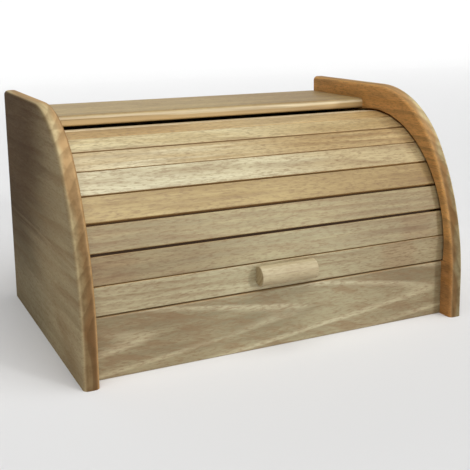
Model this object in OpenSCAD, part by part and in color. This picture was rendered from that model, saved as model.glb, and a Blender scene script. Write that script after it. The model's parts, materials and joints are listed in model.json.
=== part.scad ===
// Bread box with a roll top.
// Two shaped sides stand on their lower ends. A base, a back, a fixed top shelf and a fixed front
// board join them. The roll top is a tambour: flat slats, glued to a cloth, whose ends slide in a
// round groove in each side's inner face. The groove is an arc of one circle, so the whole curtain
// turns about that circle's axis, the roll axis.
//
// X runs along the width, -Y is the front and +Z is up. The origin is on the ground, at the middle
// of the footprint. Lengths are in millimetres and angles in degrees. An angle on the roll path is
// counted from the front, up and over to the back.

/* [Sides] */
// Overall width, outside the two sides
case_w = 390; // [320:1:460]
// Overall depth of a side
case_d = 281; // [281:1:296]
// Overall height of a side
case_h = 226; // [222:1:232]
// Thickness of a side
side_t = 14; // [12:0.5:18]
// Height at which the upright front edge starts to bow back
bow_z = 39; // [34:1:44]
// Radius of the shallow bow above the upright front edge
bow_r = 245; // [235:5:280]
// Radius of the shoulder, from the bow to the flat top
shoulder_r = 120; // [114:1:124]
// Radius of the back top corner, seen from the side
corner_r = 5; // [5:0.5:12]
// Rounding of the long edges
edge_r = 4.5; // [1:0.5:5]

/* [Roll path] */
// Height of the roll axis
roll_z = 69.5; // [69.5:0.5:73]
// Radius from the roll axis to the slats' outer faces
face_r = 126.5; // [124:0.5:126.5]
// How far the slats' faces lie behind the front edge of a side
face_setback = 17; // [15:0.5:17]
// Depth of the groove in a side
groove_depth = 7; // [6:0.5:8]
// Play between a slat and the groove's inner wall
groove_play = 0.5; // [0.3:0.1:1]
// Play between a slat's outer edges and the groove's outer wall, which shows as a dark line
groove_face_play = 2; // [0.5:0.1:2]
// How far the tambour turns from closed to open
travel = 95; // [80:1:95]

/* [Tambour] */
// Angle between neighbouring slats
slat_pitch = 11.8; // [11:0.1:11.8]
// Thickness of a slat
slat_t = 6; // [5:0.5:6]
// Bevel of a slat's long edges, which lets the gaps close up on the curve
slat_bevel = 3; // [0:0.5:4]
// Smallest gap between neighbouring slats, at the cloth
slat_gap = 0.15; // [0.1:0.05:0.5]
// Easing of a slat's outer edges
slat_ease = 0.5; // [0.2:0.1:1]
// Play between a slat's end and the bottom of its groove
slat_end_play = 1; // [0.5:0.5:2]
// Thickness of the cloth backing
cloth_t = 0.6; // [0.4:0.1:1]
// Distance from the cloth's edge to a side
cloth_inset = 3; // [2:0.5:10]

/* [Handle] */
// Length of the handle
handle_len = 58; // [50:1:120]
// Diameter of the bar that the handle is cut from
handle_d = 18.5; // [16:0.5:20]
// How far the handle stands proud of the slat
handle_proud = 14.5; // [10:0.5:15]
// Height of the handle's axis above the middle of its slat
handle_rise = 2; // [0:0.5:2]

/* [Boards] */
// Thickness of the front board
front_t = 14; // [12:0.5:16]
// Gap between the closed tambour and the front board
sill_gap = 1.6; // [0.5:0.1:2]
// Thickness of the top shelf
shelf_t = 10.5; // [10:0.5:11]
// Gap between the slats' faces and the shelf's underside
shelf_clear = 1.6; // [1.4:0.1:3]
// How far the shelf's front edge lies behind the roll axis
shelf_front = 23.5; // [23.5:0.5:30]
// Thickness of the base
base_t = 8; // [7:0.5:8]
// Height of the base's underside above the ground
base_lift = 2; // [1:0.5:2]
// Thickness of the back panel
back_t = 5; // [4:0.5:5]
// How far the back panel lies in front of the back edge of a side
back_inset = 4; // [3:0.5:4]

/* [Hidden] */
$fn = 96;

// A cut runs past the face it starts from by this much
over = 1;
// Play of a glued or screwed joint, over its whole width
joint_play = 0.1;

// How far the slats' gaps are wider than slat_gap, from the handle slat up: the slats were laid by hand
gap_extra = [0.1, 1.8, 1.8, 0.9, 0.2, 1.5, 0.3, 0.2, 0.2];
slat_count = len(gap_extra) + 1;

inside_x = case_w / 2 - side_t;
front_y = -case_d / 2;
rear_y = case_d / 2;
roll_y = front_y + face_setback + face_r;

// The bow and the shoulder meet where both lean back by bow_turn, so the edge runs on smoothly
bow_centre = [front_y + bow_r, bow_z];
bow_turn = asin((case_h - shoulder_r - bow_z) / (bow_r - shoulder_r));
shoulder_centre = bow_centre + (bow_r - shoulder_r) * [-cos(bow_turn), sin(bow_turn)];

// Half the width of a full slat, at its inner and at its outer face
slat_half_in = (face_r - slat_t) * tan(slat_pitch / 2) - slat_gap / 2;
slat_half_out = slat_half_in + slat_t * tan(slat_bevel);
slat_end_x = inside_x + groove_depth - slat_end_play;

groove_in_r = face_r - slat_t - groove_play;
groove_out_r = norm([face_r, slat_half_out]) + groove_face_play;
// The groove runs from just below the closed tambour to just past the open tambour's tail
groove_end_play = 0.25;
groove_low = -slat_pitch / 2 - groove_end_play;
groove_high = slat_pitch * (slat_count - 0.5) + travel + groove_end_play;

face_y = roll_y - face_r;
front_h = roll_z - slat_half_out - sill_gap;
shelf_z = roll_z + face_r + shelf_clear;
shelf_y = roll_y + shelf_front;
// The shelf's square back edge stops just short of the sides' back edges
shelf_back_gap = 1;
shelf_len = rear_y - shelf_back_gap - shelf_y;
shelf_top_r = 4.5;
shelf_low_r = 2;
board_ease = 0.8;

// Depth of the housings for the base, and of the grooves for the back panel
housing = 5;
base_y = face_y + front_t - housing;
back_y = rear_y - back_inset - back_t;
back_top_z = shelf_z + housing;

// Dowels: half-length in the board is longer, because a side is thin
dowel_in_side = 9;
dowel_in_board = 21;
dowel_end_play = 0.5;
shelf_dowel_d = 6;
shelf_dowel_y = [shelf_y + 32, shelf_y + 84];
front_dowel_d = 8;
front_dowel_z = [16, 42];

// Countersunk wood screws
screw_d = 3;
screw_head_d = 6;
screw_head_h = 1.8;
screw_slot_l = 3.4;
screw_slot_w = 0.8;
screw_slot_deep = 1.2;
handle_screw_len = 15;
handle_screw_x = 18;
back_screw_len = 20;
back_screw_x = 120;

// Turns a shape drawn in the YZ plane, and raised along its own Z, so that it runs along +X
module along_x() {
    rotate([90, 0, 90]) children();
}

// A length along X of the section given as children, centred on the middle of the box
module crossways(half_len) {
    translate([-half_len, 0, 0]) along_x() linear_extrude(height = 2 * half_len) children();
}

// ---- Sides ----

// Section through a side's edge: reach deep, side_t wide, both outer corners rounded
module edge_section(reach) {
    intersection() {
        square([reach, side_t]);
        union() {
            translate([0, edge_r]) square([reach, side_t - 2 * edge_r]);
            square([reach - edge_r, side_t]);
            for (x = [edge_r, side_t - edge_r])
                translate([reach - edge_r, x]) circle(r = edge_r);
        }
    }
}

// A straight stretch of rounded edge that starts at a point and looks out at an angle
module edge_run(start, facing, length) {
    reach = corner_r + over;
    translate([start[0], start[1], 0]) rotate([0, 0, facing]) rotate([90, 0, 0])
        linear_extrude(height = length)
            translate([-reach, 0]) edge_section(reach);
}

// The half of space above the seam between the bow and the shoulder, which leans back by bow_turn
module above_seam() {
    translate([shoulder_centre[0], shoulder_centre[1], -over]) rotate([0, 0, -bow_turn])
        translate([-case_d, 0, 0]) cube([2 * case_d, case_h, side_t + 2 * over]);
}

// Points of an arc, from one angle to another
function arc_points(centre, radius, from, to, steps) =
    [for (i = [0:steps]) let (a = from + (to - from) * i / steps) centre + radius * [cos(a), sin(a)]];

// The bare panel, lying flat: its own X is the box's Y, its own Y is the box's Z
module side_blank() {
    corner = [rear_y - corner_r, case_h - corner_r];
    reach = corner_r + over;
    // Upright front edge
    edge_run([front_y, 0], 180, bow_z);
    // Bow, turned down from its lower end and cut off at the seam
    difference() {
        translate([bow_centre[0], bow_centre[1], 0]) rotate([0, 0, 180]) mirror([0, 1, 0])
            rotate_extrude(angle = 60) translate([bow_r - reach, 0]) edge_section(reach);
        above_seam();
    }
    // Shoulder
    intersection() {
        translate([shoulder_centre[0], shoulder_centre[1], 0]) rotate([0, 0, 90])
            rotate_extrude(angle = 90) translate([shoulder_r - reach, 0]) edge_section(reach);
        above_seam();
    }
    // Flat top, back corner and upright back edge
    edge_run([shoulder_centre[0], case_h], 90, corner[0] - shoulder_centre[0]);
    translate([corner[0], corner[1], 0])
        rotate_extrude(angle = 90) edge_section(corner_r);
    edge_run([rear_y, corner[1]], 0, corner[1]);
    // Middle of the panel, which ends inside the rounded edges
    linear_extrude(height = side_t) polygon(concat(
        [[corner[0], 0], [front_y + corner_r, 0]],
        arc_points(bow_centre, bow_r - corner_r, 180, 180 - bow_turn, 6),
        arc_points(shoulder_centre, shoulder_r - corner_r, 180 - bow_turn, 90, 10),
        [corner]
    ));
}

// The round groove that the slat ends run in
module roll_groove() {
    translate([roll_y, roll_z, side_t - groove_depth]) rotate([0, 0, 180 - groove_high])
        rotate_extrude(angle = groove_high - groove_low)
            translate([groove_in_r, 0]) square([groove_out_r - groove_in_r, groove_depth + over]);
}

// A blind dowel hole in a side's inner face
module side_dowel_hole(y, z, d) {
    translate([y, z, side_t - dowel_in_side - dowel_end_play])
        cylinder(d = d + joint_play, h = dowel_in_side + dowel_end_play + over);
}

// A side with its grooves, housings and dowel holes. Its inner face looks along its own +Z
module side_panel() {
    difference() {
        side_blank();
        roll_groove();
        translate([base_y - joint_play, base_lift - joint_play / 2, side_t - housing])
            cube([back_y - base_y + joint_play + over, base_t + joint_play, housing + over]);
        translate([back_y - joint_play / 2, -over, side_t - housing])
            cube([back_t + joint_play, back_top_z + joint_play + over, housing + over]);
        for (y = shelf_dowel_y) side_dowel_hole(y, shelf_z + shelf_t / 2, shelf_dowel_d);
        for (z = front_dowel_z) side_dowel_hole(face_y + front_t / 2, z, front_dowel_d);
    }
}

module left_side() {
    color("peru") translate([-case_w / 2, 0, 0]) along_x() side_panel();
}

module right_side() {
    color("peru") mirror([1, 0, 0]) translate([-case_w / 2, 0, 0]) along_x() side_panel();
}

// ---- Boards between the sides ----

// Dowels, or the holes for them, through both sides' inner faces at one place
module dowel_pair(y, z, d, in_side, in_board) {
    for (side = [-1, 1])
        translate([side * (inside_x + (in_side - in_board) / 2), y, z]) rotate([0, 90, 0])
            cylinder(d = d, h = in_side + in_board, center = true);
}

module base_board() {
    color("burlywood") difference() {
        translate([-inside_x - housing + joint_play, base_y, base_lift])
            cube([2 * (inside_x + housing - joint_play), back_y - base_y, base_t]);
        back_screw_places() screw_hole(screw_d + joint_play, back_screw_len);
    }
}

module back_panel() {
    color("tan") difference() {
        translate([-inside_x - housing + joint_play, back_y, base_lift])
            cube([2 * (inside_x + housing - joint_play), back_t, back_top_z - base_lift]);
        back_screw_places() screw_hole(screw_d + joint_play, back_screw_len);
    }
}

// The shelf's front edge is rounded more at the top than below
module shelf_section() {
    translate([shelf_top_r, 0]) square([shelf_len - shelf_top_r, shelf_t]);
    translate([shelf_low_r, 0]) square([shelf_top_r, shelf_t - shelf_top_r]);
    translate([0, shelf_low_r]) square([shelf_top_r, shelf_t - shelf_top_r - shelf_low_r]);
    translate([shelf_top_r, shelf_t - shelf_top_r]) circle(r = shelf_top_r);
    translate([shelf_low_r, shelf_low_r]) circle(r = shelf_low_r);
}

module top_shelf() {
    color("burlywood") difference() {
        translate([0, shelf_y, shelf_z]) crossways(inside_x) shelf_section();
        translate([0, back_y - joint_play / 2, shelf_z - over])
            crossways(inside_x + over) square([back_t + joint_play, housing + joint_play + over]);
        for (y = shelf_dowel_y)
            dowel_pair(y, shelf_z + shelf_t / 2, shelf_dowel_d + joint_play,
                over, dowel_in_board + dowel_end_play);
    }
}

// The front board's outer edges are eased, and its back is grooved for the base
module front_board() {
    section = [
        [0, board_ease], [board_ease, 0], [front_t, 0],
        [front_t, front_h], [board_ease, front_h], [0, front_h - board_ease]
    ];
    color("burlywood") difference() {
        translate([0, face_y, 0]) crossways(inside_x) polygon(section);
        translate([0, base_y - joint_play, base_lift - joint_play / 2])
            crossways(inside_x + over) square([housing + joint_play + over, base_t + joint_play]);
        for (z = front_dowel_z)
            dowel_pair(face_y + front_t / 2, z, front_dowel_d + joint_play,
                over, dowel_in_board + dowel_end_play);
    }
}

module shelf_dowels() {
    color("wheat") for (y = shelf_dowel_y)
        dowel_pair(y, shelf_z + shelf_t / 2, shelf_dowel_d, dowel_in_side, dowel_in_board);
}

module front_board_dowels() {
    color("wheat") for (z = front_dowel_z)
        dowel_pair(face_y + front_t / 2, z, front_dowel_d, dowel_in_side, dowel_in_board);
}

// ---- Screws ----

// A countersunk screw along +Z, with its head's flat top at the origin and looking along -Z
module screw(length) {
    difference() {
        union() {
            cylinder(d1 = screw_head_d, d2 = screw_d, h = screw_head_h);
            cylinder(d = screw_d, h = length);
        }
        for (turn = [0, 90])
            rotate([0, 0, turn]) translate([-screw_slot_l / 2, -screw_slot_w / 2, -over])
                cube([screw_slot_l, screw_slot_w, screw_slot_deep + over]);
    }
}

// The hole that a screw sits in
module screw_hole(d, length) {
    rim = d - screw_d;
    cylinder(d1 = screw_head_d + rim, d2 = d, h = screw_head_h);
    cylinder(d = d, h = length + rim);
    translate([0, 0, -over]) cylinder(d = screw_head_d + rim, h = over);
}

// Screws of the back panel: heads flush with its rear face, points in the base's edge
module back_screw_places() {
    for (x = [-back_screw_x, 0, back_screw_x])
        translate([x, back_y + back_t, base_lift + base_t / 2]) rotate([90, 0, 0]) children();
}

module back_screws() {
    color("silver") back_screw_places() screw(back_screw_len);
}

// Screws of the handle: heads flush with the slat's inner face, under the cloth
module handle_screw_places() {
    for (x = [-handle_screw_x, handle_screw_x])
        translate([x, face_y + slat_t, roll_z + handle_rise]) rotate([90, 0, 0]) children();
}

module handle_screws() {
    color("silver") handle_screw_places() screw(handle_screw_len);
}

// ---- Tambour ----

// Section of a slat at the front of the roll path, from the roll axis, with its two half-widths
module slat_section(low, high) {
    lean = tan(slat_bevel);
    outer = -face_r;
    inner = -face_r + slat_t;
    polygon([
        [outer, slat_ease - low], [outer + slat_ease, slat_ease * lean - low],
        [inner, slat_t * lean - low], [inner, high - slat_t * lean],
        [outer + slat_ease, high - slat_ease * lean], [outer, high - slat_ease]
    ]);
}

// One slat, numbered from 1 at the handle
module slat(number) {
    low = slat_half_out - (number > 1 ? gap_extra[number - 2] / 2 : 0);
    high = slat_half_out - (number < slat_count ? gap_extra[number - 1] / 2 : 0);
    color("burlywood") translate([0, roll_y, roll_z]) rotate([-slat_pitch * (number - 1), 0, 0])
        crossways(slat_end_x) slat_section(low, high);
}

// The handle slat, bored for the handle's screws
module handle_slat() {
    color("burlywood") difference() {
        slat(1);
        handle_screw_places() screw_hole(screw_d + joint_play, handle_screw_len);
    }
}

// A point of the cloth's section: the angle on the roll path, how far that is from the middle of its
// slat, and the distance of the cloth's face from the roll axis
function cloth_point(angle, off, r) = [-cos(angle), sin(angle)] * r / cos(off);

// One face of the cloth, flat on each slat, with an end a little short of each end slat's edge
function cloth_face(r) = let (half = slat_pitch / 2, short = half - 1, last = slat_count - 1) concat(
    [cloth_point(-short, short, r)],
    [for (i = [1:last]) cloth_point(slat_pitch * i - half, half, r)],
    [cloth_point(slat_pitch * last + short, short, r)]
);

module canvas_backing() {
    outer = cloth_face(face_r - slat_t);
    inner = cloth_face(face_r - slat_t - cloth_t);
    ring = concat(outer, [for (i = [len(inner) - 1:-1:0]) inner[i]]);
    color("saddlebrown") translate([0, roll_y, roll_z]) crossways(inside_x - cloth_inset) polygon(ring);
}

// A round bar with chamfered ends and a flat back
module handle() {
    chamfer = 0.8;
    bar_y = face_y - handle_proud + handle_d / 2;
    color("wheat") difference() {
        translate([0, bar_y, roll_z + handle_rise]) rotate([0, 90, 0]) {
            cylinder(d = handle_d, h = handle_len - 2 * chamfer, center = true);
            for (end = [0, 180]) rotate([0, end, 0]) translate([0, 0, handle_len / 2 - chamfer])
                cylinder(d1 = handle_d, d2 = handle_d - 2 * chamfer, h = chamfer);
        }
        translate([-handle_len, face_y, 0]) cube([2 * handle_len, handle_d, case_h]);
        handle_screw_places() cylinder(d = screw_d + joint_play, h = handle_screw_len + joint_play);
    }
}

left_side();
right_side();
base_board();
back_panel();
top_shelf();
front_board();
handle_slat();  // slat_01
slat(2);  // slat_02
slat(3);  // slat_03
slat(4);  // slat_04
slat(5);  // slat_05
slat(6);  // slat_06
slat(7);  // slat_07
slat(8);  // slat_08
slat(9);  // slat_09
slat(10);  // slat_10
canvas_backing();
handle();
handle_screws();
shelf_dowels();
front_board_dowels();
back_screws();
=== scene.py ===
"""The looks of a wooden bread box with a roll top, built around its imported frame.

The sides, the shelf, the front board, the slats, the handle and the cloth are refined copies of their CAD
nodes. The boards, the handle and the slats get softened rims, and the slats a slight sway along their
length. The sides keep the round edges that the CAD gives them. The base, the back, the screws and the
dowels show as the CAD made them. Lengths are in metres and angles in radians.
"""

import json
import math
from collections import namedtuple

import bmesh
import bpy
from mathutils import Matrix, Vector, noise

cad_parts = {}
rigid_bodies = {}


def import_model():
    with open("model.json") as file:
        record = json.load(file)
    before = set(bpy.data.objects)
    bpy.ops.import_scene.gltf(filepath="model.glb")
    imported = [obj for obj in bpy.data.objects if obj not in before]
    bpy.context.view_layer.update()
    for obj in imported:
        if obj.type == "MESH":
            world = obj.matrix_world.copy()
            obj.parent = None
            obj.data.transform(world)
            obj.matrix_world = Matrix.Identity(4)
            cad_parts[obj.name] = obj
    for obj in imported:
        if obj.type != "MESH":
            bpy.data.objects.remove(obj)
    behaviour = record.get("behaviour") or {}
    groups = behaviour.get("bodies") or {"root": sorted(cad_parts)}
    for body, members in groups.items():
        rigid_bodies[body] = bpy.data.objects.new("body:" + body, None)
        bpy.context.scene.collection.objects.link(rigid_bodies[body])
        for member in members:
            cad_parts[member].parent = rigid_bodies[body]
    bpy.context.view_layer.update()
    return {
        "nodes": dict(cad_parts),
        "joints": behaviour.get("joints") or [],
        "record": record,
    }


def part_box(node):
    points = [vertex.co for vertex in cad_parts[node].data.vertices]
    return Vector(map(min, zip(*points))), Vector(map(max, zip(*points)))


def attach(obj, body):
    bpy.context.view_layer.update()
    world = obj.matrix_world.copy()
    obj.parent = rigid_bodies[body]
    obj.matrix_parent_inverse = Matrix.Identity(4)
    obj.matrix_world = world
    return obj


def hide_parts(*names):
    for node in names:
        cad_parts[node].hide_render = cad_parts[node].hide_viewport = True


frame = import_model()

ROLL = frame["joints"][0]
ROLL_AXIS = Vector(ROLL["pos_m"])
TAMBOUR = ROLL["child"]
CASE = ROLL["parent"]
SLATS = sorted(name for name in frame["nodes"] if name.startswith("slat_"))


# ---- Shader graph helpers ----

class Shader:
    """A material and short ways to add nodes to it. A socket as an argument is linked, a value is set."""

    def __init__(self, name):
        self.material = bpy.data.materials.new(name)
        self.material.use_nodes = True
        self.nodes = self.material.node_tree.nodes
        self.links = self.material.node_tree.links
        self.surface = self.nodes["Principled BSDF"]

    def put(self, socket, value):
        if isinstance(value, bpy.types.NodeSocket):
            self.links.new(value, socket)
        elif value is not None:
            socket.default_value = value

    def node(self, kind, inputs=(), **settings):
        made = self.nodes.new(kind)
        for key, value in settings.items():
            setattr(made, key, value)
        for index, value in enumerate(inputs):
            self.put(made.inputs[index], value)
        return made

    def math(self, operation, *values):
        return self.node("ShaderNodeMath", values, operation=operation).outputs[0]

    def vector(self, operation, *values):
        made = self.node("ShaderNodeVectorMath", values, operation=operation)
        return made.outputs["Value" if operation == "LENGTH" else "Vector"]

    def scaled(self, vector, by):
        return self.vector("MULTIPLY", vector, by)

    def axes(self, vector):
        return self.node("ShaderNodeSeparateXYZ", [vector]).outputs

    def joined(self, x, y, z):
        return self.node("ShaderNodeCombineXYZ", [x, y, z]).outputs[0]

    def noise(self, vector, detail=2.0, roughness=0.5, colour=False):
        made = self.node("ShaderNodeTexNoise")
        self.put(made.inputs["Vector"], vector)
        self.put(made.inputs["Scale"], 1.0)
        self.put(made.inputs["Detail"], detail)
        self.put(made.inputs["Roughness"], roughness)
        return made.outputs["Color" if colour else "Fac"]

    def ranged(self, value, low, high, to_low=0.0, to_high=1.0):
        """The value brought from the range low to high, with soft ends, to the range to_low to to_high."""
        made = self.node("ShaderNodeMapRange", interpolation_type="SMOOTHSTEP")
        for key, number in (("Value", value), ("From Min", low), ("From Max", high),
                            ("To Min", to_low), ("To Max", to_high)):
            self.put(made.inputs[key], number)
        return made.outputs[0]

    def mix(self, factor, a, b, blend="MIX"):
        """Two colours mixed. The node's first sockets of each name are for numbers, so these go by index."""
        made = self.node("ShaderNodeMix", data_type="RGBA", blend_type=blend)
        self.put(made.inputs["Factor"], factor)
        for socket, value in ((made.inputs[6], a), (made.inputs[7], b)):
            self.put(socket, (*value, 1.0) if isinstance(value, tuple) and len(value) == 3 else value)
        return made.outputs[2]

    def bump(self, height, strength, distance):
        made = self.node("ShaderNodeBump")
        self.put(made.inputs["Strength"], strength)
        self.put(made.inputs["Distance"], distance)
        self.put(made.inputs["Height"], height)
        self.put(self.surface.inputs["Normal"], made.outputs[0])

    def set(self, **values):
        for key, value in values.items():
            self.put(self.surface.inputs[key.replace("_", " ")], value)


# ---- Materials ----

QUARTER = math.pi / 2
CENTRED = (0.5, 0.5, 0.5)

# Tones of lacquered rubberwood
STRAW = (0.59, 0.47, 0.27)
HONEY = (0.54, 0.38, 0.19)
AMBER = (0.48, 0.30, 0.12)
UMBER = (0.25, 0.155, 0.07)

# Tints, which a tone is multiplied by
# Darkens the upper slats' ends: painted shade, mostly the shadow of the right side
TAN_END_SHADE = (0.76, 0.63, 0.46)
# Darkens ends near the sides: partly the wood's tone, partly painted shade
WARM_AND_END_SHADE = (0.62, 0.52, 0.42)
RUST = (0.80, 0.62, 0.52)
# Lightens and cools the slats' left ends: painted light
PALE_PAINTED_LIGHT = (1.08, 1.13, 1.24)
END_GRAIN = (0.42, 0.38, 0.34)

# How fine the features of wood are, in noise cells per metre along the grain, through the board and across
WANDERING = (3.0, 16.0, 16.0)
STREAKS = (7.0, 160.0, 160.0)
FIBRES = (60.0, 1000.0, 1000.0)
FLECKS = (150.0, 650.0, 650.0)
PORES = (170.0, 1500.0, 1500.0)
PATCHES = (5.0, 30.0, 30.0)
RIPPLES = (26.0, 60.0, 140.0)
BREAKS = (9.0, 45.0, 45.0)

# How far a seed moves the noise, how far each stave is moved in its tree, and how much ripples slant
SEED_STEP = (0.731, 0.377, 0.593)
STAVE_SCATTER = (1.0, 0.05, 0.12)
SLANT = 0.25

# Noise cells per metre along and across in an edge's layers, and the height over which its foot tint fades
SWELL_ALONG = 8.0
SWELL_ACROSS = 26.0
FOOT_FULL = 0.03
FOOT_GONE = 0.12

# The edge's tone near the plane through the board's origin, the tone beyond a border, that border's
# distance, how much it varies and a tint low down or None
Rim = namedtuple("Rim", "near far border wobble foot", defaults=(1.0, 0.01, None))

# A tinted stretch: where its middle lies along and across the grain, its reach both ways and its strength
Blush = namedtuple("Blush", "tint middle reach strength")


def staved(s, place, across, stave, seed):
    """Staves, each from its own place in a tree: that place, and a chance value for the stave's shade."""
    strip = s.math("FLOOR", s.math("DIVIDE", across, stave))
    chance = s.node("ShaderNodeTexWhiteNoise", noise_dimensions="1D")
    s.put(chance.inputs["W"], s.math("ADD", strip, seed + 0.5))
    scatter = s.scaled(s.vector("SUBTRACT", chance.outputs["Color"], CENTRED), STAVE_SCATTER)
    return s.vector("ADD", place, scatter), chance.outputs["Value"]


def late_wood(s, place, seeded, pith, taper, ring, drift, fine):
    """The line of late wood in each ring round the pith, which comes slowly and ends at once."""
    wandering = s.noise(s.scaled(seeded, WANDERING), detail=2.5, colour=True)
    wandering = s.scaled(s.vector("SUBTRACT", wandering, CENTRED), (0.0, drift, drift))
    x, y, z = s.axes(s.vector("ADD", place, wandering))
    y = s.math("SUBTRACT", y, pith[0])
    z = s.math("SUBTRACT", z, pith[1])
    radius = s.math("SQRT", s.math("ADD", s.math("MULTIPLY", y, y), s.math("MULTIPLY", z, z)))
    radius = s.math("MULTIPLY_ADD", x, taper, radius)
    phase = s.math("FRACT", s.math("DIVIDE", radius, ring))
    return s.math("MULTIPLY", s.ranged(phase, fine, 0.85), s.ranged(phase, 0.86, 1.0, 1.0, 0.0))


def blushed(s, colour, spot, along, across, streak, ragged):
    """The colour with a blush on it, whose outline follows the streaks."""
    off = s.vector("SUBTRACT", s.joined(along, 0.0, across), (spot.middle[0], 0.0, spot.middle[1]))
    far_out = s.vector("LENGTH", s.vector("DIVIDE", off, (spot.reach[0], 1.0, spot.reach[1])))
    spread = s.math("MULTIPLY_ADD", s.math("SUBTRACT", streak, 0.5), ragged, far_out)
    return s.mix(s.ranged(spread, 0.45, 1.1, spot.strength, 0.0), colour, spot.tint, blend="MULTIPLY")


def edge_tone(s, rim, along, across, depth, seed, late, streak, dark):
    """The tone of an edge, which cuts through the board's layers."""
    swell = s.noise(s.joined(s.math("MULTIPLY", along, SWELL_ALONG), seed,
                             s.math("MULTIPLY", across, SWELL_ACROSS)))
    deep = s.math("MULTIPLY_ADD", s.math("SUBTRACT", swell, 0.5), rim.wobble, depth)
    soft = 0.1 * rim.wobble
    layer = s.mix(s.ranged(deep, rim.border - soft, rim.border + soft), rim.near, rim.far)
    layer = s.mix(s.math("MULTIPLY", late, 0.4), layer, dark)
    if rim.foot:
        low_down = s.ranged(across, FOOT_FULL, FOOT_GONE, 1.0, 0.0)
        layer = s.mix(low_down, layer, rim.foot, blend="MULTIPLY")
    return s.mix(s.ranged(streak, 0.4, 0.7, 0.0, 0.45), layer, dark)


def wood(name, light, middle, dark, seed, turn=(0, 0, 0), pith=(0.06, 0.0), taper=0.0, ring=0.006,
         drift=0.022, figure=0.5, vein=None, fine=0.25, broken=0.5, ripple=0.05, speckle=0.58,
         patchy=0.5, stave=0.0, blushes=(), ragged=1.0, outer=None, rim=None, end=END_GRAIN, satin=0.50,
         sheen=0.5):
    """Rubberwood. In wood space X runs along the grain, Y through the board and Z across its face.

    light, middle and dark are its tones. turn brings the object's axes to wood space, and pith is where
    the tree's core lies in Y and Z. taper opens the rings into cathedral arches, ring is a ring's width,
    drift is how far the rings wander, figure is how clear they are, vein is their tone, fine is how late
    in a ring its line begins and broken is how much of it is left out. ripple, speckle and patchy are the
    strengths of slanting ripples, of short dark flecks and of broad patches. stave is the width of the
    strips that a wide board is glued up from. ragged is how far the streaks pull at a blush's outline.
    outer is the light and middle tones of the wood further than a distance from the plane Y = 0, and that
    distance. rim colours the edges, and end tints the end grain. satin is the roughness and sheen the
    specular level.
    """
    s = Shader(name)
    coordinates = s.node("ShaderNodeTexCoord")
    place = s.node("ShaderNodeMapping", [coordinates.outputs["Object"], (0, 0, 0), turn]).outputs[0]
    normal = s.node("ShaderNodeMapping", [coordinates.outputs["Normal"], (0, 0, 0), turn]).outputs[0]
    along, through, across = s.axes(place)
    depth = s.math("ABSOLUTE", through)
    if outer:
        outer_light, outer_middle, border = outer
        beyond = s.ranged(depth, border - 0.001, border + 0.001)
        light = s.mix(beyond, light, outer_light)
        middle = s.mix(beyond, middle, outer_middle)

    shade = None
    if stave:
        place, shade = staved(s, place, across, stave, seed)
    seeded = s.vector("ADD", place, tuple(seed * step for step in SEED_STEP))
    late = late_wood(s, place, seeded, pith, taper, ring, drift, fine)

    # Long streaks, fine fibres, short flecks, open pores, broad patches and slanting ripples
    streak = s.noise(s.scaled(seeded, STREAKS), detail=3.0, roughness=0.6)
    fibre = s.noise(s.scaled(seeded, FIBRES), detail=3.0, roughness=0.65)
    fleck = s.noise(s.scaled(seeded, FLECKS), detail=2.0, roughness=0.6)
    pore = s.noise(s.scaled(seeded, PORES), detail=1.0)
    patch = s.noise(s.scaled(seeded, PATCHES), detail=2.0)
    slanting = s.vector("ADD", seeded, s.joined(0.0, 0.0, s.math("MULTIPLY", s.axes(seeded)[0], SLANT)))
    ripples = s.noise(s.scaled(slanting, RIPPLES), detail=2.5, roughness=0.6)
    pores = s.ranged(pore, 0.60, 0.74)
    wander = s.ranged(s.noise(s.scaled(seeded, BREAKS), detail=2.0), broken - 0.15, broken + 0.15)

    # The tones go on one over the other, from the broadest feature to the finest
    tone = s.ranged(s.math("MULTIPLY_ADD", s.math("SUBTRACT", patch, 0.5), 2.0 * patchy, streak), 0.30, 0.72)
    colour = s.mix(tone, light, middle)
    if shade is not None:
        colour = s.mix(s.ranged(shade, 0.0, 1.0, 0.0, 0.3), colour, middle)
    colour = s.mix(s.ranged(ripples, 0.46, 0.66, 0.0, ripple), colour, dark)
    colour = s.mix(s.math("MULTIPLY", s.math("MULTIPLY", late, wander), figure), colour, vein or dark)
    colour = s.mix(s.ranged(fleck, 0.45, 0.72, 0.0, speckle), colour, dark)
    colour = s.mix(s.ranged(fibre, 0.42, 0.72, 0.0, 0.32), colour, dark)
    colour = s.mix(s.math("MULTIPLY", pores, 0.30), colour, tuple(0.55 * c for c in dark))

    for spot in blushes:
        colour = blushed(s, colour, spot, along, across, streak, ragged)

    # Edges have their own tone, and end grain drinks the lacquer and goes darker
    facing_ends, facing_faces, _ = s.axes(normal)
    if rim:
        edges = s.ranged(s.math("ABSOLUTE", facing_faces), 0.35, 0.85, 1.0, 0.0)
        colour = s.mix(edges, colour, edge_tone(s, rim, along, across, depth, seed, late, streak, dark))
    ends = s.ranged(s.math("ABSOLUTE", facing_ends), 0.70, 1.0)
    colour = s.mix(ends, colour, end, blend="MULTIPLY")

    s.set(Base_Color=colour, IOR=1.5, Specular_IOR_Level=sheen)
    s.set(Roughness=s.math("MULTIPLY_ADD", fibre, 0.22, satin - 0.08))
    relief = s.math("SUBTRACT", s.math("MULTIPLY", fibre, 0.5), pores)
    s.bump(relief, 0.3, 0.0002)
    return s.material


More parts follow.
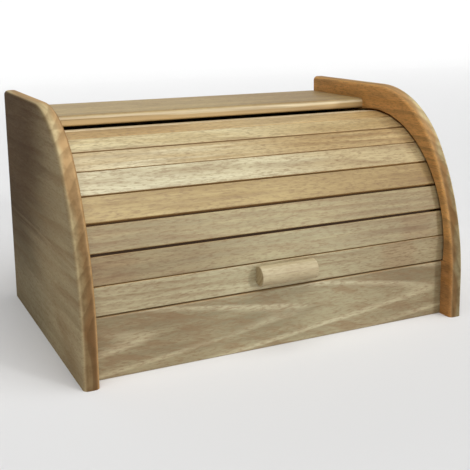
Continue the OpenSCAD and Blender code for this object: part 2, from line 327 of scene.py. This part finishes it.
def canvas(name, pitch=0.0011, radius=0.120):
    """Dark brown cotton, woven square at that pitch, which lies at that radius round the roll axis."""
    s = Shader(name)
    place = s.node("ShaderNodeTexCoord").outputs["Object"]
    x, y, z = s.axes(place)
    angle = s.math("ARCTAN2", s.math("SUBTRACT", z, ROLL_AXIS.z), s.math("SUBTRACT", ROLL_AXIS.y, y))
    warp = s.math("SINE", s.math("MULTIPLY", x, math.tau / pitch))
    weft = s.math("SINE", s.math("MULTIPLY", angle, math.tau * radius / pitch))
    weave = s.math("MULTIPLY_ADD", s.math("MULTIPLY", warp, weft), 0.5, 0.5)
    slub = s.noise(s.scaled(place, (400.0, 60.0, 60.0)), detail=3.0)
    colour = s.mix(slub, (0.130, 0.076, 0.042), (0.090, 0.052, 0.029))
    colour = s.mix(s.math("MULTIPLY", weave, 0.45), colour, (0.040, 0.023, 0.013))
    s.set(Base_Color=colour, Roughness=0.92, Sheen_Weight=0.25, Sheen_Roughness=0.5)
    s.bump(s.math("ADD", weave, slub), 0.5, 0.0003)
    return s.material


def zinc(name):
    """Zinc-plated steel with a faint yellow passivation."""
    s = Shader(name)
    place = s.node("ShaderNodeTexCoord").outputs["Object"]
    cloud = s.noise(s.scaled(place, (700.0, 700.0, 700.0)), detail=3.0)
    s.set(Base_Color=s.mix(cloud, (0.62, 0.60, 0.54), (0.48, 0.45, 0.38)), Metallic=1.0)
    s.set(Roughness=s.math("MULTIPLY_ADD", cloud, 0.25, 0.28))
    s.bump(cloud, 0.1, 0.0001)
    return s.material


# ---- Mesh helpers ----

# Corners closer than this are one corner. It is small, so that the CAD's thinnest faces don't collapse
WELD = 1e-8

# Faces that meet at less than FLAT become one, and edges are sharp from SHARP up
FLAT = math.radians(0.5)
SHARP = math.radians(40)

# An edge shorter than this many times the rim's width is left sharp
SHORTEST = 6

# The sway's noise: its cells per metre along X, Y and Z, and how far the noise for Z lies from that for Y
SWAY_CELLS = Vector((9.0, 25.0, 25.0))
SWAY_APART = Vector((31.0, 7.0, 3.0))


def refined(node, name, rim=0.0, stations=0, sway=0.0, seed=0.0):
    """A copy of a CAD node, with softened rims and, where stations cut it up along X, a slight sway."""
    bm = bmesh.new()
    bm.from_mesh(frame["nodes"][node].data)
    bmesh.ops.remove_doubles(bm, verts=bm.verts, dist=WELD)
    bmesh.ops.dissolve_limit(bm, angle_limit=FLAT, verts=bm.verts, edges=bm.edges)
    if rim:
        sharp = [e for e in bm.edges
                 if e.is_manifold and e.calc_face_angle() > SHARP and e.calc_length() > SHORTEST * rim]
        bmesh.ops.bevel(bm, geom=sharp, offset=rim, offset_type="OFFSET", segments=2, profile=0.5,
                        affect="EDGES", clamp_overlap=True)
    low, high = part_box(node)
    for station in range(1, stations):
        cut = low.x + (high.x - low.x) * station / stations
        bmesh.ops.bisect_plane(bm, geom=bm.verts[:] + bm.edges[:] + bm.faces[:],
                               plane_co=(cut, 0, 0), plane_no=(1, 0, 0))
    if sway:
        for vert in bm.verts:
            at = vert.co * SWAY_CELLS + Vector((0.0, 0.0, seed))
            vert.co.y += sway * noise.noise(at)
            vert.co.z += sway * noise.noise(at + SWAY_APART)
    mesh = bpy.data.meshes.new(name)
    bm.to_mesh(mesh)
    bm.free()
    return placed(node, name, mesh)


def placed(node, name, mesh):
    """A new piece with that mesh, smooth where it is round, which stands for a CAD node and rides with it."""
    for polygon in mesh.polygons:
        polygon.use_smooth = True
    mesh.set_sharp_from_angle(angle=SHARP)
    piece = bpy.data.objects.new(name, mesh)
    bpy.context.scene.collection.objects.link(piece)
    weighted = piece.modifiers.new("weighted_normals", "WEIGHTED_NORMAL")
    weighted.keep_sharp = True
    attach(piece, TAMBOUR if node in frame["record"]["behaviour"]["bodies"][TAMBOUR] else CASE)
    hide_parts(node)
    return piece


def dress(piece, material):
    piece.data.materials.clear()
    piece.data.materials.append(material)


def slat_angle(node):
    """How far a slat's face is turned up from the front, on the roll path."""
    faces = [p for p in frame["nodes"][node].data.polygons if abs(p.normal.x) < 0.1]
    outward = [p for p in faces if p.normal.dot(p.center - ROLL_AXIS) > 0]
    face = max(outward, key=lambda p: p.area)
    return math.atan2(face.normal.z, -face.normal.y)


# ---- The case ----

# How wide the softened rims of the boards and the handle are
SOFT_RIM = 0.0003

# A reach across the grain that goes past any board's edges
WIDE = 9.0


def blush(tint, middle, reach, strength):
    """A blush that goes right across the grain."""
    return Blush(tint, (middle, 0.0), (reach, WIDE), strength)


# Each side is orange inside and greyer outside, both as a light and a middle tone; the orange is partly
# painted warm bounce light from the slats, most of all on the right side. Its grain runs from the front to
# the back. The left one has painted shade at its upper back corner and towards its lower back, the right one
# is dark at its lower front one.
# The paler outer part of each side's front edge is partly painted highlight
SIDE_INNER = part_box("right_side")[0].x
SIDE_GREY_FROM = SIDE_INNER + 0.010
# Painted shade: the left side darker at its upper back corner
LEFT_SIDE_PAINTED_SHADE_CORNER = Blush((0.30, 0.24, 0.20), (0.14, 0.21), (0.24, 0.19), 1.0)
SIDE_LOW = Blush((0.66, 0.60, 0.58), (-0.14, 0.0), (0.10, 0.10), 1.0)
# Painted shade: the left side darker towards its lower back
LEFT_SIDE_PAINTED_SHADE_BACK = Blush((0.70, 0.72, 0.74), (0.14, 0.0), (0.20, 0.15), 1.0)
SIDES = {
    "left_side": {
        "inside": ((0.46, 0.275, 0.12), (0.39, 0.23, 0.09)),
        "outside": ((0.45, 0.36, 0.205), (0.34, 0.265, 0.145)),
        "blushes": [LEFT_SIDE_PAINTED_SHADE_CORNER, LEFT_SIDE_PAINTED_SHADE_BACK],
        # The rim's paler outer tone is partly painted highlight on the outer part of the front edge
        "rim": Rim((0.50, 0.325, 0.155), (0.61, 0.49, 0.27), SIDE_INNER + 0.0085, 0.03, (0.78, 0.71, 0.68)),
        "seed": 3.0,
    },
    "right_side": {
        # The right side's inside is lighter and more orange than the left one's: painted warm bounce light
        # from the slats
        "inside": ((0.82, 0.44, 0.155), (0.71, 0.365, 0.115)),
        "outside": ((0.50, 0.40, 0.23), (0.38, 0.29, 0.16)),
        "blushes": [SIDE_LOW],
        # The rim's paler outer tone is partly painted highlight on the outer part of the front edge
        "rim": Rim((0.48, 0.28, 0.12), (0.60, 0.49, 0.27), SIDE_INNER + 0.0075, 0.03, (0.98, 1.06, 1.15)),
        "seed": 8.0,
    },
}
for node, looks in SIDES.items():
    side = refined(node, node + "_panel")
    dress(side, wood(node + "_wood", *looks["inside"], UMBER, looks["seed"], turn=(0, 0, -QUARTER),
                     pith=(0.05, 0.02), taper=0.03, ring=0.009, stave=0.052, speckle=0.4,
                     blushes=looks["blushes"], ragged=0.4, outer=(*looks["outside"], SIDE_GREY_FROM),
                     rim=looks["rim"], satin=0.7, sheen=0.04))

# The shelf's rounded front edge is paler near its top: a painted highlight along the top arris
SHELF_RIM_WITH_PAINTED_HIGHLIGHT = Rim((0.56, 0.395, 0.185), (0.80, 0.68, 0.43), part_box("top_shelf")[1].z - 0.0045, 0.008)
shelf = refined("top_shelf", "top_shelf_board", SOFT_RIM)
# Its right end is darker: partly the wood's tone, partly painted shade near the side
dress(shelf, wood("top_shelf_wood", (0.53, 0.405, 0.17), (0.40, 0.28, 0.113), UMBER, 5.0,
                  turn=(QUARTER, 0, 0), pith=(0.07, 0.02), taper=0.02, ring=0.008, figure=0.35, stave=0.045,
                  blushes=[blush(WARM_AND_END_SHADE, 0.18, 0.16, 0.45)], rim=SHELF_RIM_WITH_PAINTED_HIGHLIGHT))

# The front board has one wide loop of light lines, open to the left. Its ends are darker: partly the wood's
# tone, partly painted shade near the sides
front = refined("front_board", "front_board_plank", SOFT_RIM)
dress(front, wood("front_board_wood", (0.37, 0.32, 0.185), (0.262, 0.216, 0.118), UMBER, 11.0,
                  pith=(-0.1115, 0.033), taper=0.10, drift=0.011, ring=0.0151, figure=0.68,
                  vein=(0.60, 0.54, 0.35), fine=0.60, broken=0.38, ripple=0.6, patchy=0.9,
                  rim=Rim(HONEY, HONEY),
                  blushes=[blush(WARM_AND_END_SHADE, -0.19, 0.14, 0.45), blush(WARM_AND_END_SHADE, 0.19, 0.12, 0.45)]))

dress(frame["nodes"]["base_board"],
      wood("base_wood", STRAW, HONEY, UMBER, 14.0, turn=(QUARTER, 0, 0), pith=(0.08, 0.0), taper=0.02,
           stave=0.05))
dress(frame["nodes"]["back_panel"],
      wood("back_wood", STRAW, HONEY, UMBER, 17.0, pith=(0.20, 0.1), taper=0.05, ring=0.011))

# ---- The tambour ----

# The slats' light and middle tones from the handle slat up, and their blushes. The blushes at the slats' ends
# hold painted shade near the sides, partly with the wood's tone, and painted light at some left ends
SLAT_TONES = {
    "slat_01": ((0.53, 0.48, 0.30), (0.42, 0.367, 0.217),
                [blush(WARM_AND_END_SHADE, -0.19, 0.14, 0.45), blush(WARM_AND_END_SHADE, 0.19, 0.16, 0.7),
                 blush(RUST, 0.128, 0.024, 0.45)]),
    "slat_02": ((0.475, 0.418, 0.235), (0.337, 0.286, 0.158),
                [blush(WARM_AND_END_SHADE, -0.18, 0.16, 0.7), blush(WARM_AND_END_SHADE, 0.19, 0.15, 0.6),
                 blush(RUST, 0.150, 0.022, 0.45), blush(RUST, -0.165, 0.03, 0.4)]),
    "slat_03": ((0.442, 0.37, 0.194), (0.325, 0.265, 0.139),
                [blush(WARM_AND_END_SHADE, -0.19, 0.13, 0.35), blush(WARM_AND_END_SHADE, 0.19, 0.15, 0.4)]),
    "slat_04": ((0.48, 0.36, 0.155), (0.35, 0.24, 0.093),
                [blush(WARM_AND_END_SHADE, 0.18, 0.17, 0.5), blush(PALE_PAINTED_LIGHT, -0.19, 0.14, 0.45)]),
    "slat_05": ((0.64, 0.58, 0.37), (0.56, 0.495, 0.30),
                [blush(TAN_END_SHADE, 0.18, 0.18, 0.75), blush(PALE_PAINTED_LIGHT, -0.19, 0.14, 0.45)]),
    "slat_06": ((0.68, 0.58, 0.34), (0.49, 0.355, 0.165),
                [blush(TAN_END_SHADE, 0.17, 0.18, 0.8), blush(PALE_PAINTED_LIGHT, -0.19, 0.15, 1.0)]),
    "slat_07": ((0.76, 0.66, 0.39), (0.62, 0.495, 0.257), [blush(TAN_END_SHADE, 0.18, 0.17, 0.7)]),
    "slat_08": ((0.70, 0.54, 0.26), (0.56, 0.38, 0.16),
                [blush(TAN_END_SHADE, -0.18, 0.15, 0.6), blush(TAN_END_SHADE, 0.19, 0.13, 0.6)]),
    # slat_09's much lighter tone is painted light: the lit edge that shows under the shelf
    "slat_09": ((0.88, 0.73, 0.46), (0.72, 0.56, 0.32), []),
    "slat_10": ((0.56, 0.45, 0.26), (0.43, 0.34, 0.19), []),
}

# A slat's rims and sway are finer than a board's, and it is cut up along its length to follow the sway
SLAT_SOFT_RIM = 0.00022
SLAT_SWAY = 0.0002
SLAT_STATIONS = 18
SLAT_SEED = 20.0
SLAT_SEED_STEP = 3.0
SWAY_SEED_STEP = 7.0

# The sawn edges in the gaps between the slats are browner than the faces
SLAT_RIM = Rim(AMBER, AMBER)

for index, node in enumerate(SLATS):
    light, middle, blushes = SLAT_TONES[node]
    core = (-0.05 - 0.01 * index, 0.03 * math.sin(2.1 * index))
    strip = refined(node, "tambour_" + node, SLAT_SOFT_RIM, stations=SLAT_STATIONS, sway=SLAT_SWAY,
                    seed=SWAY_SEED_STEP * index)
    dress(strip, wood(node + "_wood", light, middle, UMBER, SLAT_SEED + SLAT_SEED_STEP * index,
                      turn=(slat_angle(node), 0, 0), pith=core, taper=0.02, patchy=0.3,
                      blushes=blushes, rim=SLAT_RIM))

handle = refined("handle", "handle_bar", SOFT_RIM)
dress(handle, wood("handle_bar_wood", (0.52, 0.445, 0.27), (0.47, 0.385, 0.225), UMBER, 60.0,
                   pith=(-0.11, 0.09), ring=0.004, speckle=0.3, end=(1.0, 0.95, 0.88)))

# The cloth is cut to its CAD solid: as wide as that, and as long as the slats' inner faces in a row
CLOTH_SOFT_RIM = 0.0001
cloth = refined("canvas_backing", "tambour_cloth", CLOTH_SOFT_RIM)
dress(cloth, canvas("cotton_canvas"))

# ---- Screws and dowels ----

steel = zinc("zinc_plate")
for node in ("handle_screws", "back_screws"):
    dress(frame["nodes"][node], steel)
dowel_wood = wood("dowel_beech", STRAW, HONEY, UMBER, 70.0)
for node in ("shelf_dowels", "front_board_dowels"):
    dress(frame["nodes"][node], dowel_wood)

# ---- Floor, light and camera ----

FLOOR_TONE = (0.78, 0.78, 0.78, 1.0)
FLOOR_HALF_WIDTH = 20.0
FLOOR_FRONT = -40.0
BACKDROP_AT = 4.0
BACKDROP_TOP = 3.0
BEND = 1.2
BEND_STEPS = 24


def floor():
    """A plain floor that bends up into a backdrop behind the box, as one smooth sheet."""
    profile = [(FLOOR_FRONT, 0.0), (BACKDROP_AT - BEND, 0.0)]
    for step in range(1, BEND_STEPS + 1):
        angle = QUARTER * step / BEND_STEPS
        profile.append((BACKDROP_AT - BEND + BEND * math.sin(angle), BEND * (1 - math.cos(angle))))
    profile.append((BACKDROP_AT, BACKDROP_TOP))
    points = [(x, y, z) for y, z in profile for x in (-FLOOR_HALF_WIDTH, FLOOR_HALF_WIDTH)]
    faces = [(2 * i, 2 * i + 1, 2 * i + 3, 2 * i + 2) for i in range(len(profile) - 1)]
    mesh = bpy.data.meshes.new("floor")
    mesh.from_pydata(points, [], faces)
    for polygon in mesh.polygons:
        polygon.use_smooth = True
    sheet = bpy.data.objects.new("floor", mesh)
    bpy.context.scene.collection.objects.link(sheet)
    paint = Shader("floor")
    paint.set(Base_Color=FLOOR_TONE, Roughness=0.9)
    dress(sheet, paint.material)


floor()

WORLD_STRENGTH = 0.035
world = bpy.data.worlds.new("studio")
world.use_nodes = True
background = world.node_tree.nodes["Background"]
background.inputs["Color"].default_value = (1.0, 1.0, 1.0, 1.0)
background.inputs["Strength"].default_value = WORLD_STRENGTH
bpy.context.scene.world = world


def far_light(name, turn, rise, spread, strength):
    """Light from far off, in degrees: turned to the right of the front, risen, and its apparent size."""
    data = bpy.data.lights.new(name, "SUN")
    data.energy = strength
    data.angle = math.radians(spread)
    lamp = bpy.data.objects.new(name, data)
    bpy.context.scene.collection.objects.link(lamp)
    heading = math.radians(turn)
    height = math.radians(rise)
    level = math.cos(height)
    shine = Vector((-math.sin(heading) * level, math.cos(heading) * level, -math.sin(height)))
    lamp.rotation_euler = shine.to_track_quat("-Z", "Y").to_euler()


far_light("overhead", turn=8, rise=64, spread=75, strength=2.85)
far_light("side", turn=30, rise=14, spread=7, strength=0.99)

bpy.context.scene.view_settings.view_transform = "Standard"

# The camera stands in front of the left end, above the box, and looks a little down. Its lens is in sensor
# widths, its shifts are in picture widths
CAMERA_AT = (-0.3600, -0.7989, 0.3075)
LENS = 1.83894
SHIFT_X = -0.061
SHIFT_Y = -0.125
YAW = math.radians(26.68)
PITCH = math.radians(-10.91)
TILT = math.radians(-0.37)
camera_data = bpy.data.cameras.new("camera")
camera_data.lens = camera_data.sensor_width * LENS
camera_data.shift_x = SHIFT_X
camera_data.shift_y = SHIFT_Y
camera = bpy.data.objects.new("camera", camera_data)
bpy.context.scene.collection.objects.link(camera)
camera.matrix_world = (
    Matrix.Translation(CAMERA_AT)
    @ Matrix.Rotation(-YAW, 4, "Z")
    @ Matrix.Rotation(QUARTER + PITCH, 4, "X")
    @ Matrix.Rotation(TILT, 4, "Z")
)
bpy.context.scene.camera = camera
